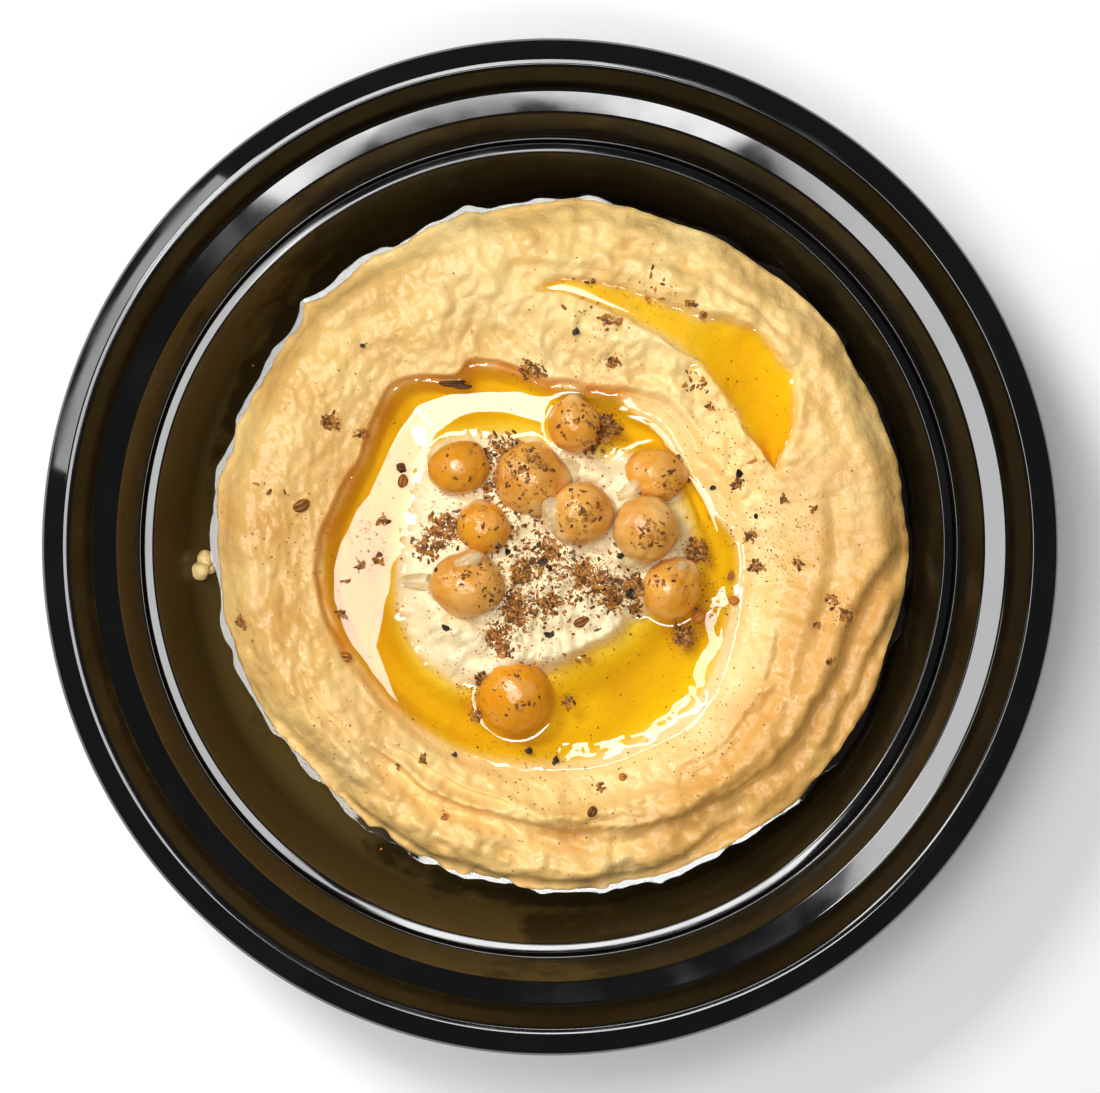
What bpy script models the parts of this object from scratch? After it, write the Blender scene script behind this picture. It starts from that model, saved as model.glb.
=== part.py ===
"""A round takeaway bowl of hummus: a smooth dip with an oil-filled well and whole chickpeas.

Run with: blender --background --python part.py
All lengths below are millimetres; the meshes are built in metres, +Z up, with the origin
under the centre of the bowl's base.
"""

import math

import bmesh
import bpy
import numpy as np
from mathutils import Euler, Matrix, Vector

MM = 0.001
GAP = 0.3            # clearance between pieces that touch
POOL_GAP = 0.5       # the same under a pool of oil, whose facets differ from the dip's
COLLECTION = "hummus_bowl"

# The bowl: a thin turned shell.
BOWL_WALL = 1.0
BOWL_TURNS = 44      # segments round the bowl
FILLET_DETAIL = 0.4  # pieces to a millimetre of fillet radius
RIM_RADIUS = 92.0
RIM_HEIGHT = 45.0
FLOOR_HEIGHT = 2.2   # raised middle panel of the floor, inside
FOOT_INNER = 50.5    # where the panel drops to the foot ring
FOOT_HEIGHT = 1.0    # foot ring, inside
COVE_START = 59.5    # radius where the floor begins to curve up into the wall

# The dip: a disc set a little to the right of the bowl's axis.
DIP_CENTRE = (3.0, 0.7)
DIP_RADIUS = 66.0
DIP_TURNS = 56       # segments round the dip
CREST_HEIGHT = 19.6  # top of the spooned ring
EDGE_HEIGHT = 12.0   # where the top rolls over into the side
DIP_CLEARANCE = 0.6  # from the faceted bowl

# The well in the middle of the dip, seen from its own centre.
WELL_CENTRE = (-2.0, -3.0)
OIL_LEVEL = 14.5
ISLAND_HEIGHT = 16.4
WELL_DEPTH = 4.4
# Radius of the well's outer shore and of the island in it, at angles in degrees.
SHORE = [(0, 38.5), (20, 37.5), (33, 36.6), (50, 38.0), (60, 36.4), (70, 34.5), (88, 34.0),
         (97, 36.5), (108, 39.4), (114, 37.8), (127, 42.6), (142, 39.5), (152, 38.2),
         (180, 40.7), (205, 39.0), (222, 38.1), (250, 38.4), (275, 38.3), (297, 39.2),
         (318, 40.5), (345, 38.0)]
ISLAND = [(0, 30.0), (28, 30.4), (45, 28.8), (60, 25.0), (78, 24.0), (96, 25.6), (112, 27.3),
          (130, 30.0), (150, 28.0), (165, 26.4), (208, 28.5), (240, 27.5), (262, 21.5),
          (280, 20.8), (297, 19.2), (316, 20.3), (333, 22.7), (345, 27.5)]

# The crescent groove of oil in the ring, measured from the same centre.
CRESCENT_OIL = 17.2
CRESCENT_DEPTH = 3.0
CRESCENT_LIP = 0.6   # how far the groove's sides stand above its oil
CRESCENT_SPAN = (22.5, 87.5)
CRESCENT_INNER = [(22, 49.0), (30, 48.3), (37, 48.8), (46, 51.0), (55, 51.9), (74, 50.8),
                  (89, 51.6)]
CRESCENT_OUTER = [(22, 50.0), (28, 55.1), (33, 58.2), (45, 59.6), (58, 55.8), (68, 54.2),
                  (80, 54.2), (89, 52.4)]

# Chickpeas: centre, half sizes across, along and up, turn about Z, and the way the beak points.
CHICKPEAS = [
    ((4.8, 23.0, 17.3), (4.7, 5.0, 4.6), 5, (0.0, 1.0, 0.25)),
    ((-16.8, 14.9, 17.4), (5.6, 4.9, 4.8), 12, (0.7, 0.7, -0.2)),
    ((-3.4, 13.2, 16.6), (6.1, 6.3, 5.6), 20, (0.9, -0.3, 0.1)),
    ((6.1, 6.5, 19.4), (5.9, 5.8, 5.5), 30, (-0.9, -0.3, 0.2)),
    ((-12.1, 3.8, 17.5), (5.1, 4.6, 4.5), -25, (-0.5, 0.8, 0.1)),
    ((19.9, 13.7, 14.9), (5.7, 5.0, 4.8), -10, (1.0, 0.3, 0.0)),
    ((18.1, 3.6, 19.8), (6.0, 6.1, 5.7), 15, (-0.4, -0.9, 0.0)),
    ((22.9, -7.6, 16.9), (5.5, 5.7, 5.2), -20, (0.4, 0.9, 0.2)),
    ((-15.2, -6.9, 17.8), (6.9, 5.9, 5.6), -8, (0.1, 1.0, 0.1)),
    ((-6.2, -27.8, 14.6), (6.6, 7.0, 6.3), 10, (-0.1, 1.0, 0.2)),
]
PEA_SEGMENTS = 12
PEA_RINGS = 8
BEAK_RISE = 0.13     # how far the beak stands out, as a share of the radius
BEAK_SPREAD = 0.35   # its half width, in radians


def clear_scene():
    for obj in list(bpy.data.objects):
        bpy.data.objects.remove(obj)


def new_collection(name):
    collection = bpy.data.collections.new(name)
    bpy.context.scene.collection.children.link(collection)
    return collection


def material(name, colour, roughness, metallic=0.0):
    made = bpy.data.materials.new(name)
    made.use_nodes = True
    shader = made.node_tree.nodes["Principled BSDF"]
    shader.inputs["Base Color"].default_value = (*colour, 1.0)
    shader.inputs["Roughness"].default_value = roughness
    shader.inputs["Metallic"].default_value = metallic
    made.diffuse_color = (*colour, 1.0)
    return made


def add_object(name, mesh, collection, look):
    obj = bpy.data.objects.new(name, mesh)
    collection.objects.link(obj)
    mesh.materials.append(look)
    return obj


def smooth(mesh, sharp_degrees=40):
    mesh.shade_smooth()
    mesh.set_sharp_from_angle(angle=math.radians(sharp_degrees))


# ---- Profiles -------------------------------------------------------------------------

def rounded(corners, detail):
    """The open line through corners (r, z, fillet radius), with so many pieces to a fillet's mm."""
    line = [Vector(corners[0][:2])]
    for before, here, after in zip(corners, corners[1:], corners[2:]):
        point = Vector(here[:2])
        to_before = (Vector(before[:2]) - point).normalized()
        to_after = (Vector(after[:2]) - point).normalized()
        half = to_before.angle(to_after) / 2
        reach = here[2] / math.tan(half)
        centre = point + (to_before + to_after).normalized() * here[2] / math.sin(half)
        start = point + to_before * reach - centre
        sweep = start.angle_signed(point + to_after * reach - centre)
        pieces = max(1, round(here[2] * detail))
        for k in range(pieces + 1):
            turned = Matrix.Rotation(-sweep * k / pieces, 2) @ start
            line.append(centre + turned)
    line.append(Vector(corners[-1][:2]))
    return line


def offset(corners, distance):
    """The corners moved to the right of their line by distance, with the fillets to match."""
    moved = []
    points = [Vector(corner[:2]) for corner in corners]
    for k, point in enumerate(points):
        into = (point - points[k - 1]).normalized() if k else None
        out = (points[k + 1] - point).normalized() if k + 1 < len(points) else None
        into = into or out
        out = out or into
        side_in = Vector((into.y, -into.x))
        side_out = Vector((out.y, -out.x))
        middle = (side_in + side_out).normalized()
        shifted = point + middle * distance / middle.dot(side_in)
        left_turn = into.x * out.y - into.y * out.x > 0
        fillet = corners[k][2] + (distance if left_turn else -distance)
        moved.append((shifted.x, shifted.y, max(fillet, 0.3) if corners[k][2] else 0.0))
    return moved


def bowl_corners():
    """The inside of the bowl from the axis to the rim's lower edge: r, z, fillet radius."""
    return [
        (0.0, FLOOR_HEIGHT, 0.0),
        (FOOT_INNER - 2.0, FLOOR_HEIGHT, 1.5),
        (FOOT_INNER, FOOT_HEIGHT, 1.0),
        (66.4, FOOT_HEIGHT, 9.0),             # cove between floor and lower wall
        (73.4, 23.9, 0.6),                    # bead at the foot of the middle wall
        (76.3, 23.2, 0.6),
        (79.1, 36.2, 0.7),                    # sloping ledge
        (83.5, 37.2, 1.0),
        (86.5, RIM_HEIGHT, 0.8),              # crown of the rim
        (87.9, RIM_HEIGHT, 0.8),
        (91.0, 42.9, 1.6),                    # flange, falling outward
        (RIM_RADIUS, 41.6, 0.6),
        (RIM_RADIUS, 40.2, 0.0),
    ]


def add_bowl(collection, look):
    inside = bowl_corners()
    outside = offset(inside, BOWL_WALL)
    line = rounded(inside, FILLET_DETAIL) + rounded(outside, FILLET_DETAIL)[::-1]
    mesh = bpy.data.meshes.new("bowl")
    points = [(p.x * MM, 0.0, p.y * MM) for p in line]
    mesh.from_pydata(points, [(k, k + 1) for k in range(len(points) - 1)], [])
    bowl = add_object("bowl", mesh, collection, look)
    turn = bowl.modifiers.new("turn", "SCREW")
    turn.axis = "Z"
    turn.angle = math.tau
    turn.steps = turn.render_steps = BOWL_TURNS
    turn.use_merge_vertices = True
    turn.merge_threshold = 0.00001
    turn.use_smooth_shade = True
    return bowl


# ---- The dip's shape ------------------------------------------------------------------

def ease(low, high, value):
    """0 below low, 1 above high, and a smooth step between."""
    t = min(max((value - low) / (high - low), 0.0), 1.0)
    return t * t * (3 - 2 * t)


def around(knots, degrees):
    """A smooth closed curve through (angle, value) knots."""
    angles = [a for a, _ in knots]
    count = len(knots)
    k = int(np.searchsorted(angles, degrees % 360, side="right")) - 1
    a0, v0 = knots[k % count]
    a1, v1 = knots[(k + 1) % count]
    before = knots[(k - 1) % count][1]
    after = knots[(k + 2) % count][1]
    t = ((degrees - a0) % 360) / ((a1 - a0) % 360)
    slope0, slope1 = (v1 - before) / 2, (after - v0) / 2
    return ((2 * t**3 - 3 * t**2 + 1) * v0 + (t**3 - 2 * t**2 + t) * slope0
            + (3 * t**2 - 2 * t**3) * v1 + (t**3 - t**2) * slope1)


def dip_edge(degrees):
    """Distance from the well's centre to the dip's edge."""
    way = Vector((math.cos(math.radians(degrees)), math.sin(math.radians(degrees))))
    off = Vector(DIP_CENTRE) - Vector(WELL_CENTRE)
    along = off.dot(way)
    return along + math.sqrt(DIP_RADIUS**2 - off.length_squared + along**2)


def wall_steepness(degrees):
    """1 where the well has a steep wall, at the left and top, falling to 0 at the lower right."""
    return 0.5 + 0.5 * math.cos(math.radians(degrees - 140))


def crescent_share(radius, degrees):
    """0 to 1 across the crescent groove from its inner to its outer shore, and None outside."""
    if not CRESCENT_SPAN[0] - 2 < degrees % 360 < CRESCENT_SPAN[1] + 2:
        return None
    inner = around(CRESCENT_INNER, degrees)
    outer = around(CRESCENT_OUTER, degrees)
    share = (radius - inner) / (outer - inner)
    return share if 0 < share < 1 else None


def dip_height(radius, degrees):
    """Height of the dip's top at a distance and angle from the well's centre."""
    island = around(ISLAND, degrees)
    shore = around(SHORE, degrees)
    edge = dip_edge(degrees)
    steep = wall_steepness(degrees)
    if radius < island:
        return ISLAND_HEIGHT - (ISLAND_HEIGHT - OIL_LEVEL + 0.7) * (radius / island) ** 4
    if radius < shore:
        share = (radius - island) / (shore - island)
        depth = WELL_DEPTH * min((shore - island) / 14, 1.0)
        down = ease(0.0, 0.45, share)
        up = ease(0.55 + 0.2 * steep, 1.0, share)
        return OIL_LEVEL - 0.7 * (1 - share) - depth * down * (1 - up)
    lip = 1.0 + 2.6 * steep
    rise = CREST_HEIGHT - OIL_LEVEL
    bank = ease(0.0, lip * 1.6, radius - shore) * lip
    hill = (rise - lip) * ease(0.0, 14.0, radius - shore)
    fall = (CREST_HEIGHT - EDGE_HEIGHT) * ease(14.0, 0.0, edge - radius) ** 1.6
    height = OIL_LEVEL + bank + hill - fall
    share = crescent_share(radius, degrees)
    if share is not None:
        shore_drop = CRESCENT_DEPTH + CRESCENT_LIP
        groove = CRESCENT_OIL + CRESCENT_LIP - shore_drop * 4 * share * (1 - share)
        height = min(height, groove)
    return height


def ring_radii(degrees):
    """Where the dip's rings cross this direction: they follow each shore and the edge."""
    island = around(ISLAND, degrees)
    shore = around(SHORE, degrees)
    inner = around(CRESCENT_INNER, degrees)
    outer = around(CRESCENT_OUTER, degrees)
    edge = dip_edge(degrees)
    radii = [island * share for share in (0.12, 0.5, 0.8, 1.0)]
    radii += [island + (shore - island) * share for share in (0.15, 0.4, 0.65, 0.88, 1.0)]
    radii += [shore + 1.6, shore + 4.5, (shore + 4.5 + inner) / 2]
    radii += [inner + (outer - inner) * share for share in (0.0, 0.2, 0.5, 0.8, 1.0)]
    radii += [outer + (edge - outer) * share for share in (0.35, 0.7, 0.92)]
    return radii


WELL_RINGS = (4, 7)        # first and last ring that the well's oil lies on
CRESCENT_RINGS = (13, 15)  # the same for the crescent's oil


def place(radius, degrees, height):
    angle = math.radians(degrees)
    return Vector((WELL_CENTRE[0] + radius * math.cos(angle),
                   WELL_CENTRE[1] + radius * math.sin(angle), height))


def kept_inside(point, inner_line):
    """The point moved towards the axis until it clears the bowl."""
    limit = np.interp(point.z, [p.y for p in inner_line], [p.x for p in inner_line])
    limit -= DIP_CLEARANCE
    across = math.hypot(point.x, point.y)
    if across <= limit:
        return point
    return Vector((point.x * limit / across, point.y * limit / across, point.z))


def loft(name, sections, closed):
    """A closed mesh through equal loops of points, joined end to end or capped."""
    mesh = bpy.data.meshes.new(name)
    shape = bmesh.new()
    loops = [[shape.verts.new(p * MM) for p in section] for section in sections]
    pairs = list(zip(loops, loops[1:] + loops[:1]))
    if not closed:
        pairs.pop()
        shape.faces.new(loops[0])
        shape.faces.new(loops[-1][::-1])
    for first, second in pairs:
        for k in range(len(first)):
            m = (k + 1) % len(first)
            shape.faces.new((first[k], second[k], second[m], first[m]))
    bmesh.ops.recalc_face_normals(shape, faces=shape.faces)
    shape.to_mesh(mesh)
    shape.free()
    smooth(mesh)
    return mesh


def turn_angles():
    return [360 * k / DIP_TURNS for k in range(DIP_TURNS)]


def add_dip(collection, look):
    cove = [p for p in rounded(bowl_corners(), FILLET_DETAIL) if p.x > COVE_START]
    rings = []
    for k in range(len(ring_radii(0))):
        rings.append([])
        for degrees in turn_angles():
            radius = ring_radii(degrees)[k]
            point = place(radius, degrees, dip_height(radius, degrees))
            rings[-1].append(kept_inside(point, cove))
    level = sum(point.z for point in rings[0]) / DIP_TURNS
    rings[0] = [Vector((point.x, point.y, level)) for point in rings[0]]
    for inset, height in ((0.0, EDGE_HEIGHT - 3.5), (0.4, 5.5), (2.0, 2.6)):
        rings.append([kept_inside(place(dip_edge(a) - inset, a, height), cove)
                      for a in turn_angles()])
    for radius, height in ((59.0, FOOT_HEIGHT), (FOOT_INNER + 0.4, FOOT_HEIGHT),
                           (FOOT_INNER - 2.4, FLOOR_HEIGHT)):
        rings.append([Vector((radius * math.cos(math.radians(a)),
                              radius * math.sin(math.radians(a)), height + GAP))
                      for a in turn_angles()])
    return add_object("hummus", loft("hummus", rings, closed=False), collection, look)


def oil_section(degrees, rings, level):
    """A slice of a pool: flat on top, and a gap above the dip underneath."""
    radii = ring_radii(degrees)[rings[0]:rings[1] + 1]
    top = [place(r, degrees, level) for r in radii]
    under = [place(r, degrees, dip_height(r, degrees) + POOL_GAP) for r in radii]
    return top + under[::-1]


def add_well_oil(collection, look):
    sections = [oil_section(a, WELL_RINGS, OIL_LEVEL) for a in turn_angles()]
    return add_object("oil_well", loft("oil_well", sections, closed=True), collection, look)


def add_crescent_oil(collection, look):
    angles = [a for a in turn_angles() if CRESCENT_SPAN[0] < a < CRESCENT_SPAN[1]]
    sections = [oil_section(a, CRESCENT_RINGS, CRESCENT_OIL) for a in angles]
    return add_object("oil_crescent", loft("oil_crescent", sections, closed=False),
                      collection, look)


# ---- Chickpeas ------------------------------------------------------------------------

def chickpea_mesh(name, half, beak, grow):
    """A rounded seed with a blunt beak; grow adds a margin all round, for cutting."""
    mesh = bpy.data.meshes.new(name)
    shape = bmesh.new()
    bmesh.ops.create_uvsphere(shape, u_segments=PEA_SEGMENTS, v_segments=PEA_RINGS, radius=1.0)
    way = Vector(beak).normalized()
    for vertex in shape.verts:
        turn = vertex.co.angle(way)
        out = 1 + BEAK_RISE * math.exp(-((turn / BEAK_SPREAD) ** 2))
        size = Vector([(h + grow) * MM for h in half])
        vertex.co = vertex.co * out * size
    shape.to_mesh(mesh)
    shape.free()
    smooth(mesh, 80)
    return mesh


def add_chickpeas(collection, cutters, look):
    made = []
    for number, (centre, half, turn, beak) in enumerate(CHICKPEAS, 1):
        name = f"chickpea_{number:02d}"
        pea = add_object(name, chickpea_mesh(name, half, beak, 0.0), collection, look)
        cutter = add_object(name + "_space", chickpea_mesh(name + "_space", half, beak, GAP + 0.1),
                            cutters, look)
        for obj in (pea, cutter):
            obj.location = Vector(centre) * MM
            obj.rotation_euler = Euler((0, 0, math.radians(turn)))
        cutter.hide_render = True
        cutter.display_type = "WIRE"
        made.append((pea, cutter))
    return made


def cut(target, cutters):
    for cutter in cutters:
        hole = target.modifiers.new(cutter.name, "BOOLEAN")
        hole.operation = "DIFFERENCE"
        hole.object = cutter


def main():
    clear_scene()
    parts = new_collection(COLLECTION)
    cutters = new_collection("cutters")
    black = material("black plastic", (0.006, 0.006, 0.008), 0.12)
    cream = material("hummus", (0.94, 0.66, 0.31), 0.45)
    gold = material("olive oil", (0.86, 0.50, 0.02), 0.06)
    tan = material("chickpea", (0.72, 0.33, 0.06), 0.3)
    add_bowl(parts, black)
    dip = add_dip(parts, cream)
    well = add_well_oil(parts, gold)
    add_crescent_oil(parts, gold)
    spaces = [cutter for _, cutter in add_chickpeas(parts, cutters, tan)]
    cut(dip, spaces)
    cut(well, spaces)


main()
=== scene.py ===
import math

import bpy
import numpy as np
from mathutils import Matrix, Vector, noise


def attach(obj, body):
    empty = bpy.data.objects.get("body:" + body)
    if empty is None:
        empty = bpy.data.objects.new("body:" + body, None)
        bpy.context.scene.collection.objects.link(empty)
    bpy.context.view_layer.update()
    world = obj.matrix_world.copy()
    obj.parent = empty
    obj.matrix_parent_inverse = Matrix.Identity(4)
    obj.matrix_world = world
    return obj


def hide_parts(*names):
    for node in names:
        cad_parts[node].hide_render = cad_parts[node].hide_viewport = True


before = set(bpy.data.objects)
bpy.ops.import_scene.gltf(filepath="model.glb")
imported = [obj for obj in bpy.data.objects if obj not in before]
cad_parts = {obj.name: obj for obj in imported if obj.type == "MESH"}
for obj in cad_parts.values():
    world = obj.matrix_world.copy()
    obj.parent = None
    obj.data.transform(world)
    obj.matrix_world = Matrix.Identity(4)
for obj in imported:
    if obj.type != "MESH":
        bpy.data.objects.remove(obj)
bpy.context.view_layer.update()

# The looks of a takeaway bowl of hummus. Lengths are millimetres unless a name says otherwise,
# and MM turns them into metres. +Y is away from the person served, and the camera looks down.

MM = 0.001

# ---- Driving dimensions
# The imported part's, but for the dip's edge height, the crescent's shores and span, and the third
# chickpea, which were refined here.

RIM_RADIUS = 92.0
RIM_HEIGHT = 45.0
BOWL_WALL = 1.0
FLOOR_HEIGHT = 2.2
FOOT_INNER = 50.5
FOOT_HEIGHT = 1.0

DIP_CENTRE = (3.0, 0.7)
DIP_RADIUS = 66.0
CREST_HEIGHT = 19.6
EDGE_HEIGHT = 14.6
WELL_CENTRE = (-2.0, -3.0)
OIL_LEVEL = 14.5
ISLAND_HEIGHT = 16.4
WELL_DEPTH = 4.4
SHORE = [(0, 38.5), (20, 37.5), (33, 36.6), (50, 38.0), (60, 36.4), (70, 34.5), (88, 34.0),
         (97, 36.5), (108, 39.4), (114, 37.8), (127, 42.6), (142, 39.5), (152, 38.2),
         (180, 40.7), (205, 39.0), (222, 38.1), (250, 38.4), (275, 38.3), (297, 39.2),
         (318, 40.5), (345, 38.0)]
ISLAND = [(0, 30.0), (28, 30.4), (45, 28.8), (60, 25.0), (78, 24.0), (96, 25.6), (112, 27.3),
          (130, 30.0), (150, 28.0), (165, 26.4), (208, 28.5), (240, 27.5), (262, 21.5),
          (280, 20.8), (297, 19.2), (316, 20.3), (333, 22.7), (345, 27.5)]
CRESCENT_OIL = 17.2
CRESCENT_DEPTH = 3.0
CRESCENT_LIP = 0.6
CRESCENT_SPAN = (22.0, 88.5)
CRESCENT_INNER = [(22, 47.6), (30, 46.6), (37, 46.2), (46, 47.4), (57, 48.2), (67, 48.6),
                  (79, 50.0), (89, 51.0)]
CRESCENT_OUTER = [(22, 48.8), (27, 53.2), (32, 57.3), (38, 59.6), (48, 59.4), (54, 57.2),
                  (63, 54.8), (76, 54.4), (84, 54.0), (89, 52.2)]

# Chickpeas: centre, half sizes, turn about Z, and the way the beak points.
CHICKPEAS = [
    ((4.8, 23.0, 17.3), (4.7, 5.0, 4.6), 5, (0.0, 1.0, 0.25)),
    ((-16.8, 14.9, 17.4), (5.6, 4.9, 4.8), 12, (0.7, 0.7, -0.2)),
    ((-3.4, 13.0, 16.8), (6.6, 6.8, 5.9), 20, (0.9, -0.3, 0.1)),
    ((6.1, 6.5, 19.4), (5.9, 5.8, 5.5), 30, (-0.9, -0.3, 0.2)),
    ((-12.1, 3.8, 17.5), (5.1, 4.6, 4.5), -25, (-0.5, 0.8, 0.1)),
    ((19.9, 13.7, 14.9), (5.7, 5.0, 4.8), -10, (1.0, 0.3, 0.0)),
    ((18.1, 3.6, 19.8), (6.0, 6.1, 5.7), 15, (-0.4, -0.9, 0.0)),
    ((22.9, -7.6, 16.9), (5.5, 5.7, 5.2), -20, (0.4, 0.9, 0.2)),
    ((-15.2, -6.9, 17.8), (6.9, 5.9, 5.6), -8, (0.1, 1.0, 0.1)),
    ((-6.2, -27.8, 14.6), (6.6, 7.0, 6.3), 10, (-0.1, 1.0, 0.2)),
]
BEAK_RISE = 0.13      # share of the chickpea that its beak stands out
BEAK_SPREAD = 0.35    # radians

# These two are this script's own.
PLUMPER = 1.05        # each chickpea is drawn this much larger than its half sizes
FAR = 99.0            # stands for no chickpea near, and -FAR for nothing to lie on


# ---- Small mathematics

def ease(low, high, value):
    """0 at low, 1 at high, and a smooth step between; low may be the larger."""
    t = np.clip((value - low) / (high - low), 0.0, 1.0)
    return t * t * (3 - 2 * t)


def bell(centre, half_width, value):
    return np.exp(-(((value - centre) / half_width) ** 2))


def closed_curve(knots):
    """A function of degrees: a smooth closed curve through (angle, value) knots."""
    angles = np.array([a for a, _ in knots], float)
    values = np.array([v for _, v in knots], float)
    table_at = np.arange(0, 360, 0.5)
    k = np.searchsorted(angles, table_at, side="right") - 1
    nxt = (k + 1) % len(knots)
    before = values[(k - 1) % len(knots)]
    after = values[(k + 2) % len(knots)]
    t = ((table_at - angles[k]) % 360) / ((angles[nxt] - angles[k]) % 360)
    slope0 = (values[nxt] - before) / 2
    slope1 = (after - values[k]) / 2
    table = ((2 * t**3 - 3 * t**2 + 1) * values[k] + (t**3 - 2 * t**2 + t) * slope0
             + (3 * t**2 - 2 * t**3) * values[nxt] + (t**3 - t**2) * slope1)
    return lambda degrees: np.interp(degrees % 360, table_at, table, period=360)


def spin(angle):
    """The matrix of a turn about Z, in radians."""
    return np.array([[math.cos(angle), -math.sin(angle), 0],
                     [math.sin(angle), math.cos(angle), 0], [0, 0, 1]])


def noise_at(x, y, scale, seed):
    """Smooth noise from about -1 to 1 with features of about scale."""
    flat_x, flat_y = np.ravel(x) / scale, np.ravel(y) / scale
    made = [noise.noise(Vector((a, b, seed))) for a, b in zip(flat_x, flat_y)]
    return np.array(made).reshape(np.shape(x)) * 1.8


def noise_over(points, scale, shift):
    """Noise at each of a ball's points, which are scaled and then shifted."""
    return np.array([noise.noise(Vector(p * scale) + Vector(shift)) for p in points])


shore_at = closed_curve(SHORE)
island_at = closed_curve(ISLAND)
crescent_inner_at = closed_curve(CRESCENT_INNER)
crescent_outer_at = closed_curve(CRESCENT_OUTER)


def to_polar(x, y):
    """Distance and degrees (-180 to 180) from the well's centre."""
    dx, dy = x - WELL_CENTRE[0], y - WELL_CENTRE[1]
    return np.hypot(dx, dy), np.degrees(np.arctan2(dy, dx))


def from_polar(radius, degrees):
    angle = np.radians(degrees)
    return WELL_CENTRE[0] + radius * np.cos(angle), WELL_CENTRE[1] + radius * np.sin(angle)


# ---- The dip's surface

# Creases left by the spoon: radius at each angle, how far the surface drops outside the line,
# how wide the low band is, and how soft the drop is.
CREASES = [
    ([(-135, 45.0), (-117, 46.6), (-94, 47.6), (-78, 50.4), (-61, 53.7), (-41, 57.3),
      (-28, 58.2), (-12, 59.3), (-5, 61.0), (0, 64.5), (5, 69.0)], 3.2, 6.0, 0.7),
    ([(-134, 55.0), (-109, 57.0), (-89, 58.9), (-69, 60.7), (-47, 59.6)], 2.8, 5.0, 0.7),
    ([(-134, 42.6), (-120, 42.8), (-105, 43.6), (-92, 45.2)], 1.5, 3.0, 0.6),
    ([(-62, 46.8), (-52, 48.4), (-35, 49.8), (-24, 49.4)], 1.1, 3.5, 0.8),
    ([(-70, 44.2), (-56, 46.0), (-40, 47.8), (-24, 47.0), (-10, 46.0)], 0.6, 4.5, 1.2),
    ([(-38, 62.8), (-26, 63.0), (-14, 64.2), (-7, 67.4), (-2, 70.0)], 1.8, 3.5, 0.7),
    ([(-20, 52.6), (-4, 53.6), (10, 54.6), (18, 54.0)], 0.9, 4.0, 0.9),
    ([(-108, 61.6), (-96, 62.4), (-80, 63.6), (-64, 63.8)], 1.8, 4.0, 0.8),
    ([(38, 62.6), (52, 62.0), (66, 60.4), (80, 58.4)], 1.1, 8.0, 0.8),
    ([(-175, 60.5), (-160, 58.0), (-146, 55.0), (-128, 52.5), (-118, 50.6)], 1.0, 5.0, 1.2),
    ([(-160, 48.0), (-140, 47.2), (-126, 49.0)], 0.9, 4.0, 0.9),
    ([(100, 60.0), (118, 62.0), (140, 61.0), (152, 62.5)], 0.8, 6.0, 1.2),
    ([(112, 52.0), (124, 54.5), (136, 55.5)], 0.7, 4.0, 1.0),
]
CREASE_FADE = 9.0     # degrees over which a crease starts and ends
EDGE_SHORT = 1.6      # how far the dip's edge stays inside its plain circle
EDGE_WAVES = 0.55     # how strongly the edge wanders
WET_WIDTH = 3.2       # width of the wet slope between the oil and the bank, upper right
WET_RISE = 0.36       # how steeply it rises


def dip_edge(degrees):
    """Distance from the well's centre to the dip's edge, a little uneven."""
    angle = np.radians(degrees)
    off = np.array(DIP_CENTRE) - np.array(WELL_CENTRE)
    along = off[0] * np.cos(angle) + off[1] * np.sin(angle)
    plain = along + np.sqrt(DIP_RADIUS**2 - off @ off + along**2)
    uneven = (0.5 * np.sin(9 * angle + 1) + 0.4 * np.sin(17 * angle + 2)
              + 0.3 * np.sin(31 * angle))
    lean = 1.4 * bell(-135, 28, degrees)       # the dip stands off the bowl at the lower left
    point = 1.3 * bell(131.5, 1.6, degrees) + 1.0 * bell(101.5, 1.8, degrees)
    return (plain - EDGE_SHORT + 0.6 * bell(180, 50, degrees % 360) + uneven * EDGE_WAVES
            + point - lean)


def ragged(degrees):
    """What is torn off or added at the very edge, most at the upper left and the bottom."""
    still = degrees * 0
    torn = 0.5 * noise_at(degrees, still, 4.5, 3.3) + 0.35 * noise_at(degrees, still, 1.9, 6.3)
    where = np.clip(bell(140, 35, degrees) + bell(-110, 45, degrees), 0, 1)
    return torn * (0.25 + 0.75 * where)


def crease_relief(radius, degrees, wander):
    relief = np.zeros_like(radius)
    for knots, drop, band, soft in CREASES:
        angles = [a for a, _ in knots]
        line = along(knots, degrees) + wander
        out = radius - line
        window = (ease(angles[0], angles[0] + CREASE_FADE, degrees)
                  * ease(angles[-1], angles[-1] - CREASE_FADE, degrees))
        step = ease(-soft * 0.3, soft, out) * ease(band, band * 0.35, out)
        swell = 0.35 * bell(-2.2, 1.8, out)    # the lip is pushed up just inside the line
        relief += drop * window * (swell - step)
    return relief


def steepness(degrees):
    return 0.5 + 0.5 * np.cos(np.radians(degrees - 140))


def crescent_share(radius, degrees):
    """Share of the way across the crescent: 0 at its inner shore and 1 at its outer one."""
    inner, outer = crescent_inner_at(degrees), crescent_outer_at(degrees)
    return (radius - inner) / (outer - inner)


def island_height(radius, degrees, island):
    """The mound in the well: a low plateau, steep at the lower right and awash elsewhere."""
    bold = bell(-60, 75, degrees)
    share = np.clip(radius / island, 0, 1.2)
    start = 0.70 + 0.18 * bold
    top = ISLAND_HEIGHT + 0.5 * bold + 0.2
    foot = OIL_LEVEL - 0.45 - 0.4 * bold + 0.85 * bell(165, 42, degrees % 360)
    return top - (top - foot) * ease(start, 1.0, share)


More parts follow.
